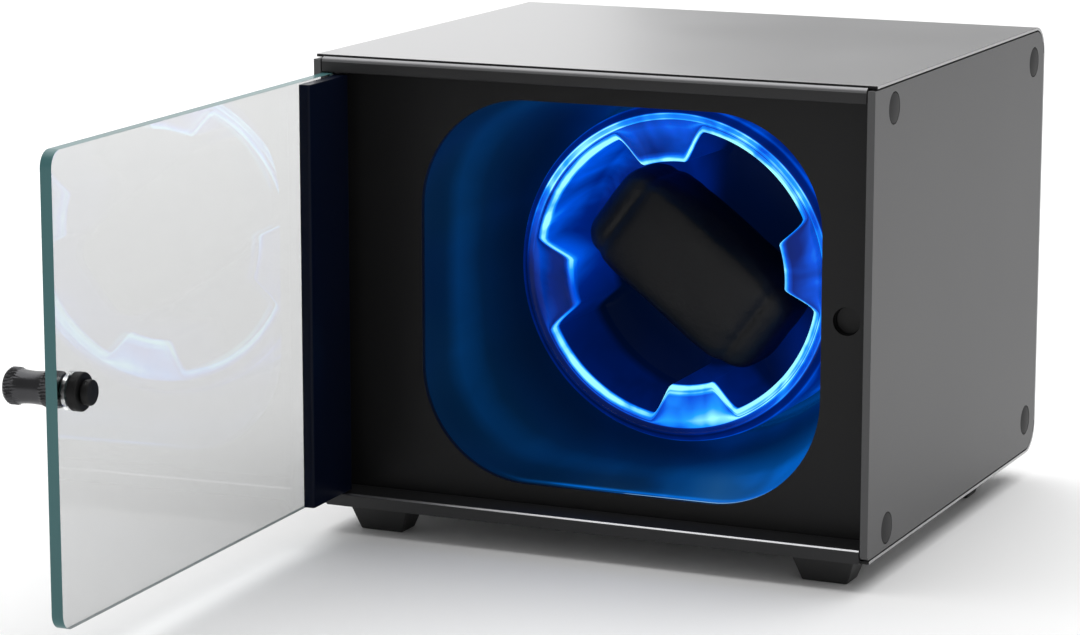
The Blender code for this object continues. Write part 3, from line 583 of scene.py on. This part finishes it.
def make_drum():
    angles = full_turn(360)

    def ring(y, radius=None, grow=0.0):
        sizes = [lobed_radius(a, grow) if radius is None else radius for a in angles]
        return [(AXIS_X + r * math.cos(a), y, AXIS_Z + r * math.sin(a)) for r, a in zip(sizes, angles)]

    def face_ring(t):
        """Ring on the rim's flat face, from the lobed edge at 0 to the round one at 1."""
        sizes = [lobed_radius(a, 1.9) * (1 - t) + FACE_RADIUS * t for a in angles]
        return [(AXIS_X + r * math.cos(a), DRUM_FRONT, AXIS_Z + r * math.sin(a)) for r, a in zip(sizes, angles)]

    def blend(stops):
        """Emitted light round the drum, edge light with painted highlights and shade: stops are (degrees, value) from
        0 to 360.
        """
        row = []
        for i in range(360):
            for (a0, v0), (a1, v1) in zip(stops, stops[1:]):
                if a0 <= i <= a1:
                    t = (i - a0) / (a1 - a0)
                    row.append(v0 + (v1 - v0) * t * t * (3 - 2 * t))
                    break
        return row

    # Angle stops for the drum's emitted light: the lip, face and halo rings carry painted highlights on top of the
    # plastic's edge light; the wall and the cup's pit carry painted light and shade that change with angle.
    wall_stops = [(0, 0.12), (60, 0.08), (98, 0.24), (140, 0.44), (180, 0.38), (215, 0.10), (285, 0.12)]
    wall_stops += [(330, 0.28), (360, 0.12)]
    lip_stops = [(0, 1.0), (60, 0.95), (150, 1.02), (190, 0.62), (225, 1.08), (280, 0.95), (315, 1.2)]
    lip_stops += [(345, 1.2), (360, 1.0)]
    face_stops = [(0, 0.5), (18, 0.48), (40, 0.7), (75, 0.62), (98, 0.48), (130, 0.5), (165, 0.3), (188, 0.27)]
    face_stops += [(215, 0.34), (250, 0.5), (268, 0.8), (292, 0.8), (312, 1.0), (345, 1.0), (352, 0.6), (360, 0.5)]
    halo_stops = [(0, 0.75), (60, 0.85), (120, 1.02), (150, 0.95), (168, 0.4), (184, 0.14), (250, 0.12)]
    halo_stops += [(290, 0.3), (320, 0.8), (360, 0.75)]
    pit_stops = [(0, 0.0), (85, 0.02), (110, 0.2), (140, 0.3), (170, 0.18), (195, 0.0), (290, 0.02)]
    pit_stops += [(320, 0.14), (345, 0.05), (360, 0.0)]
    wall, lip, face, halo, pit = map(blend, (wall_stops, lip_stops, face_stops, halo_stops, pit_stops))

    f = DRUM_FRONT
    steps = [
        (ring(CUP_FLOOR, 2.0), 0.0),
        (ring(CUP_FLOOR, grow=-9.0), (pit, 0.8)),
        (ring(CUP_FLOOR, grow=-3.0), (pit, 1.0)),
        (ring(CUP_FLOOR - 0.9, grow=-1.0), (pit, 1.1)),
        (ring(CUP_FLOOR - 3, grow=-0.4), (pit, 1.2)),
        (ring(76, grow=-0.3), (wall, 0.65)),
        (ring(68, grow=-0.2), (wall, 0.85)),
        (ring(60, grow=-0.1), (wall, 1.0)),
        (ring(54.5), (wall, 1.1)),
        (ring(f + 2.6), (wall, 1.2)),
        (ring(f + 1.5), (lip, 0.7)),
        (ring(f + 0.6, grow=0.25), (lip, 1.0)),
        (ring(f + 0.1, grow=0.8), (lip, 1.0)),
        (ring(f, grow=1.4), (lip, 0.7)),
        (ring(f, grow=1.9), (face, 1.0)),
        (face_ring(0.1), (face, 0.62)),
        (face_ring(0.45), (face, 0.8)),
        (face_ring(0.8), (face, 1.15)),
        (ring(f, FACE_RADIUS), (face, 0.9)),
        (ring(f - 0.15, 42.1), (halo, 0.98)),
        (ring(f - 0.35, 42.5), (halo, 0.74)),
        (ring(f - 0.5, 43.3), (halo, 0.72)),
        (ring(f - 0.48, 43.6), (halo, 0.95)),
        (ring(f - 0.42, 44.0), (halo, 0.22)),
        (ring(f - 0.2, 44.7), 0.16),
        (ring(f + 0.5, 45.4), 0.2),
        (ring(f + 1.4, 45.8), 0.42),
        (ring(f + 2.6, DRUM_RADIUS), 0.3),
        (ring(f + 12, DRUM_RADIUS), 0.2),
        (ring(DRUM_BACK - 0.5, DRUM_RADIUS), 0.45),
        (ring(DRUM_BACK, DRUM_RADIUS - 0.5), 0.6),
        (ring(DRUM_BACK, DRUM_RADIUS - DRUM_WALL), 0.6),
        (ring(f + 2.6, DRUM_RADIUS - DRUM_WALL), 0.3),
        (ring(f + 2.6, grow=2.0), 0.3),
        (ring(CUP_FLOOR + CUP_WALL, grow=1.4), 0.5),
        (ring(CUP_FLOOR + CUP_WALL, 2.0), 0.3),
    ]
    glow_and_painted_light = []
    for points, value in steps:
        row = []
        for i, (x, y, z) in enumerate(points):
            here = value[0][i] * value[1] if isinstance(value, tuple) else value
            place = Vector((x - AXIS_X, z - AXIS_Z, y * 0.5)) / 22.0
            row.append(here * (1.0 + 0.3 * noise.noise(place)))
        glow_and_painted_light.append(row)
    shell = loft([points for points, value in steps], glow_and_painted_light)
    # The deep cup bands take the darker copy of the drum's look: painted shade.
    for index, quad in enumerate(shell.faces):
        quad.material_index = 1 if index < CUP_BANDS * len(angles) else 0
    drum = piece("lobed_drum", shell, ["drum_shell"], smooth=40)
    drum.data.materials.append(SHADED_DEEP_BLUE)
    ring_profile = [(38.0, 0.0), (43.0, 0.0), (43.0, -2.0), (38.0, -2.0)]
    light = lathe(ring_profile, (AXIS_X, CHAMBER_BACK - 0.3, AXIS_Z), "Y", 128, ring=True)
    piece("light_ring", light, ["led_ring"])
    head = eased([(0, 1.9), (3.8, 1.9), (3.8, 0.3), (1.5, 0.3), (1.5, -5.0), (0, -5.0)], 0.4)
    piece("hub_bolt", lathe(head, (AXIS_X, CUP_FLOOR, AXIS_Z), "-Y", 48), ["hub_screw"])


def swell(obj, voxel, cap):
    """Closed skin remeshed evenly and blown up by cloth pressure; no point moves further than the cap, in metres."""
    remesh = obj.modifiers.new("Even skin", "REMESH")
    remesh.mode = "VOXEL"
    remesh.voxel_size = voxel
    even = evaluated_mesh(obj)
    obj.modifiers.clear()
    obj.data = even
    start = [vertex.co.copy() for vertex in even.vertices]
    cloth = obj.modifiers.new("Cloth", "CLOTH")
    cloth.settings.use_pressure = True
    cloth.settings.uniform_pressure_force = 4.0
    cloth.settings.tension_stiffness = 5.0
    cloth.settings.compression_stiffness = 5.0
    cloth.settings.effector_weights.gravity = 0.0
    cloth.point_cache.frame_start = 1
    cloth.point_cache.frame_end = 20
    for frame_number in range(1, 21):
        bpy.context.scene.frame_set(frame_number)
    swollen = evaluated_mesh(obj)
    obj.modifiers.clear()
    obj.data = swollen
    bpy.context.scene.frame_set(1)
    for vertex, before in zip(swollen.vertices, start):
        moved = vertex.co - before
        if moved.length > cap:
            vertex.co = before + moved.normalized() * cap
    swollen.shade_smooth()


def make_pillow():
    """Stuffed cushion: a slightly small block swelled by cloth pressure, then given its seams and creases."""
    size = Vector(PILLOW_SIZE)
    bm = bmesh.new()
    bmesh.ops.create_cube(bm, size=1.0)
    bmesh.ops.subdivide_edges(bm, edges=bm.edges, cuts=15, use_grid_fill=True)
    for vertex in bm.verts:
        q = vertex.co * 2
        rounding = (abs(q.x) ** 7 + abs(q.y) ** 7 + abs(q.z) ** 7) ** (1 / 7)
        pinch = 1.0 - 0.10 * abs(q.x) ** 3
        vertex.co = Vector((q.x * size.x, q.y * size.y * pinch, q.z * size.z * pinch)) / (2 * rounding)
    centre = Vector((AXIS_X, CUP_FLOOR - PILLOW_DEPTH, AXIS_Z))
    place = Matrix.Translation(centre) @ Matrix.Rotation(math.radians(PILLOW_TURN), 4, "Y")
    bm.transform(place)
    cushion = piece("pillow_cushion", bm, ["pillow"], smooth=180)
    swell(cushion, 0.0018, 0.0022)
    into, back = (WORLD @ place).inverted(), WORLD @ place
    for vertex in cushion.data.vertices:
        q = into @ vertex.co
        from_seam = min(abs(abs(q.x) - PILLOW_END_SEAM), abs(q.z) if q.y > 0 else 99.0)
        groove = 0.95 * math.exp(-((from_seam / 1.0) ** 2))
        puckers = 0.12 * math.exp(-((from_seam / 4.0) ** 2)) * math.sin(2.1 * math.atan2(q.z, q.y) * 9 + q.x * 0.4)
        creases = 0.35 * noise.noise(Vector((q.x * 0.05, q.y * 0.14, q.z * 0.14)))
        outward = Vector((0.0, q.y, q.z)).normalized()
        vertex.co = back @ (q + outward * (puckers + creases - groove))
    subdivision = cushion.modifiers.new("Smooth", "SUBSURF")
    subdivision.levels = 1
    subdivision.render_levels = 1


# ---------------------------------------------------------------- door


def make_door():
    outline = rounded_rectangle(GLASS_LOW, GLASS_HIGH, [0.5, 4, 4, 0.5])
    glass = sheet([outline, circle(KNOB, KNOB_HOLE, 48)], "Y", *GLASS_Y)
    glass.normal_update()
    for face in glass.faces:
        face.material_index = 0 if abs(face.normal.y) > 0.9 else 1
    pane = piece("door_glass", glass, ["glass_pane"], swung=True)
    pane.data.materials.append(EDGE_TEAL)
    bevel = soften(pane, 0.35, 2)
    bevel.modifiers["Softened edges"].material = 1

    section = [*arc(PIVOT, 1.4, 175, 360, 24), (5.4, 3.9), (BAR_END, 3.9)]
    section += [*arc((BAR_END - 0.8, 6.2), 0.8, 0, 90, 6), (4.2, 7.0)]
    soften(piece("door_bar", sheet([section], "Z", *BAR_Z), ["hinge_bar"], swung=True), 0.25, 2)

    x, z = KNOB

    def knurled(angle, radius, height):
        """Diagonal teeth on the two end bands."""
        on_band = 4.0 < radius and (0.5 < height < 2.3 or 9.4 < height < 11.6)
        return radius + (0.14 * math.cos(34 * angle + 1.6 * height) if on_band else 0.0)

    knob = [(0, 12.3), (3.4, 12.3), (3.9, 12.1), (4.15, 11.7), (4.28, 11.5), (4.3, 11.0), (4.3, 10.5)]
    knob += [(4.3, 10.0), (4.28, 9.5), (4.1, 9.2), (3.97, 8.2), (3.88, 7.0), (3.85, 6.0), (3.88, 5.0)]
    knob += [(3.93, 4.0), (4.02, 3.0), (4.12, 2.4), (4.2, 2.2), (4.22, 1.8), (4.22, 1.2), (4.2, 0.6)]
    knob += [(4.05, 0.2), (3.9, 0.0), (2.0, 0.0), (2.0, -6.2), (0, -6.2)]
    piece("pull_knob", lathe(knob, (x, 0.3, z), "-Y", 216, wave=knurled), ["knob"], swung=True)
    washer = [(2.3, 1.0), (4.6, 1.0), (4.6, 0), (2.3, 0)]
    piece("clear_washer", lathe(washer, (x, 3.9, z), "Y", 96, ring=True), ["knob_washer"], swung=True)
    collar = eased([(0, 2.5), (4.6, 2.5), (4.6, 0), (2.3, 0), (2.3, 1.8), (0, 1.8)], 0.5, 4)
    piece("black_collar", lathe(collar, (x, 5.1, z), "Y"), ["knob_collar"], swung=True)
    tip = eased([(0, 1.9), (3.05, 1.9), (3.05, 0), (0, 0)], 0.45, 4)
    piece("black_tip", lathe(tip, (x, 7.9, z), "Y"), ["knob_tip"], swung=True)


# ---------------------------------------------------------------- feet and rear


def make_feet():
    for name, (x, y) in FEET.items():
        bm = bmesh.new()
        bmesh.ops.create_cube(bm, size=1.0)
        for vertex in bm.verts:
            high = vertex.co.z > 0
            width, depth = FOOT_TOP if high else FOOT_BOTTOM
            vertex.co = Vector((x + vertex.co.x * width, y + vertex.co.y * depth, -FOOT_GAP if high else -FOOT_HEIGHT))
        soften(piece(f"{name}_pad", bm, [f"{name}_foot"], material=FOOT_RUBBER), 0.4, 3)


def make_rear():
    low, high, radius = REAR_PLATE
    loops = [rounded_rectangle(low, high, [radius] * 4)]
    loops += [circle(INLET, INLET_HOLE, 64), circle(SELECTOR, SELECTOR_HOLE, 64)]
    soften(piece("rear_plate", sheet(loops, "Y", *REAR_PLATE_Y), ["rear_panel"]), 0.15, 2)
    socket = [(0, -2.0), (1.0, -2.4), (1.0, -9.0), (3.0, -9.0), (3.0, 0.4), (3.3, 0.7), (4.9, 0.7), (5.2, 0.4)]
    socket += [(5.2, 0), (4.0, 0), (4.0, -10.2), (0, -10.2)]
    place = (INLET[0], INLET_FACE_Y, INLET[1])
    piece("inlet_socket", lathe(eased(socket, 0.2, 2), place, "Y"), ["dc_inlet"])

    def ribbed(angle, radius, height):
        """Fine grip ribs with one deeper pointer groove, at the top."""
        grip = 6.5 < radius and 0.9 < height < 6.6
        pointer = math.cos(angle - math.pi / 2) > 0.99 and 4.0 < radius
        return radius + (0.18 * math.cos(24 * angle) if grip else 0.0) - (0.5 if pointer and grip else 0.0)

    body = [(0, 7.4), (5.9, 7.4), (6.6, 7.1), (6.9, 6.5), (7.0, 5.0), (7.0, 2.0), (6.9, 1.0), (6.4, 0), (3.0, 0)]
    body += [(3.0, -7.0), (0, -7.0)]
    place = (SELECTOR[0], SELECTOR_FACE_Y, SELECTOR[1])
    piece("selector_knob", lathe(body, place, "Y", 192, wave=ribbed), ["mode_knob"])


# ---------------------------------------------------------------- stage


def in_studio(x, y, z):
    """Place in metres from the middle of the box's underside."""
    return WORLD @ Vector((WIDTH / 2 + x * 1000, DEPTH / 2 + y * 1000, z * 1000))


def area_light(name, place, target, size, radiance):
    data = bpy.data.lights.new(name, "AREA")
    data.shape = "RECTANGLE"
    data.size, data.size_y = size
    data.energy = radiance * math.pi * size[0] * size[1]
    light = bpy.data.objects.new(name, data)
    light.location = in_studio(*place)
    light.rotation_euler = (in_studio(*target) - light.location).to_track_quat("-Z", "Y").to_euler()
    bpy.context.scene.collection.objects.link(light)


def make_stage():
    bm = bmesh.new()
    bmesh.ops.create_grid(bm, x_segments=1, y_segments=1, size=4.0)
    mesh = bpy.data.meshes.new("floor")
    bm.to_mesh(mesh)
    bm.free()
    floor = bpy.data.objects.new("floor", mesh)
    floor.location = in_studio(0, 0, -FLOOR_DROP)
    mesh.materials.append(surface("floor_paper", (0.93, 0.93, 0.93), 0.0, 0.7, 0.02, 300.0, 0.0, 0.0, specular=0.1))
    bpy.context.scene.collection.objects.link(floor)
    world = bpy.data.worlds.new("studio")
    bpy.context.scene.world = world
    world.use_nodes = True
    background = world.node_tree.nodes["Background"]
    background.inputs["Color"].default_value = (1, 1, 1, 1)
    background.inputs["Strength"].default_value = 0.40
    area_light("overhead_box", (-0.1, 0.6, 2.2), (0, 0, 0.05), (3.6, 3.2), 2.25)
    area_light("left_back_box", (-0.60, 0.66, 0.36), (0, 0, 0.12), (0.62, 0.5), 0.95)


def make_camera():
    data = bpy.data.cameras.new("camera")
    data.sensor_width = 36.0
    data.lens = CAMERA_LENS
    data.clip_start = 0.05
    data.clip_end = 50.0
    camera = bpy.data.objects.new("camera", data)
    camera.location = in_studio(*CAMERA_PLACE)
    camera.rotation_euler = (math.radians(90 - CAMERA_DOWN), 0.0, math.radians(CAMERA_TURN))
    bpy.context.scene.collection.objects.link(camera)
    bpy.context.scene.camera = camera
    bpy.context.scene.view_settings.view_transform = "Standard"


for cad_node, obj in frame["nodes"].items():
    obj.data.materials.clear()
    obj.data.materials.append(LOOKS[NODE_SLOT[cad_node]])
make_wrap()
make_sides()
make_rails()
make_front_panel()
make_chamber()
make_drum()
make_pillow()
make_door()
make_feet()
make_rear()
make_stage()
make_camera()
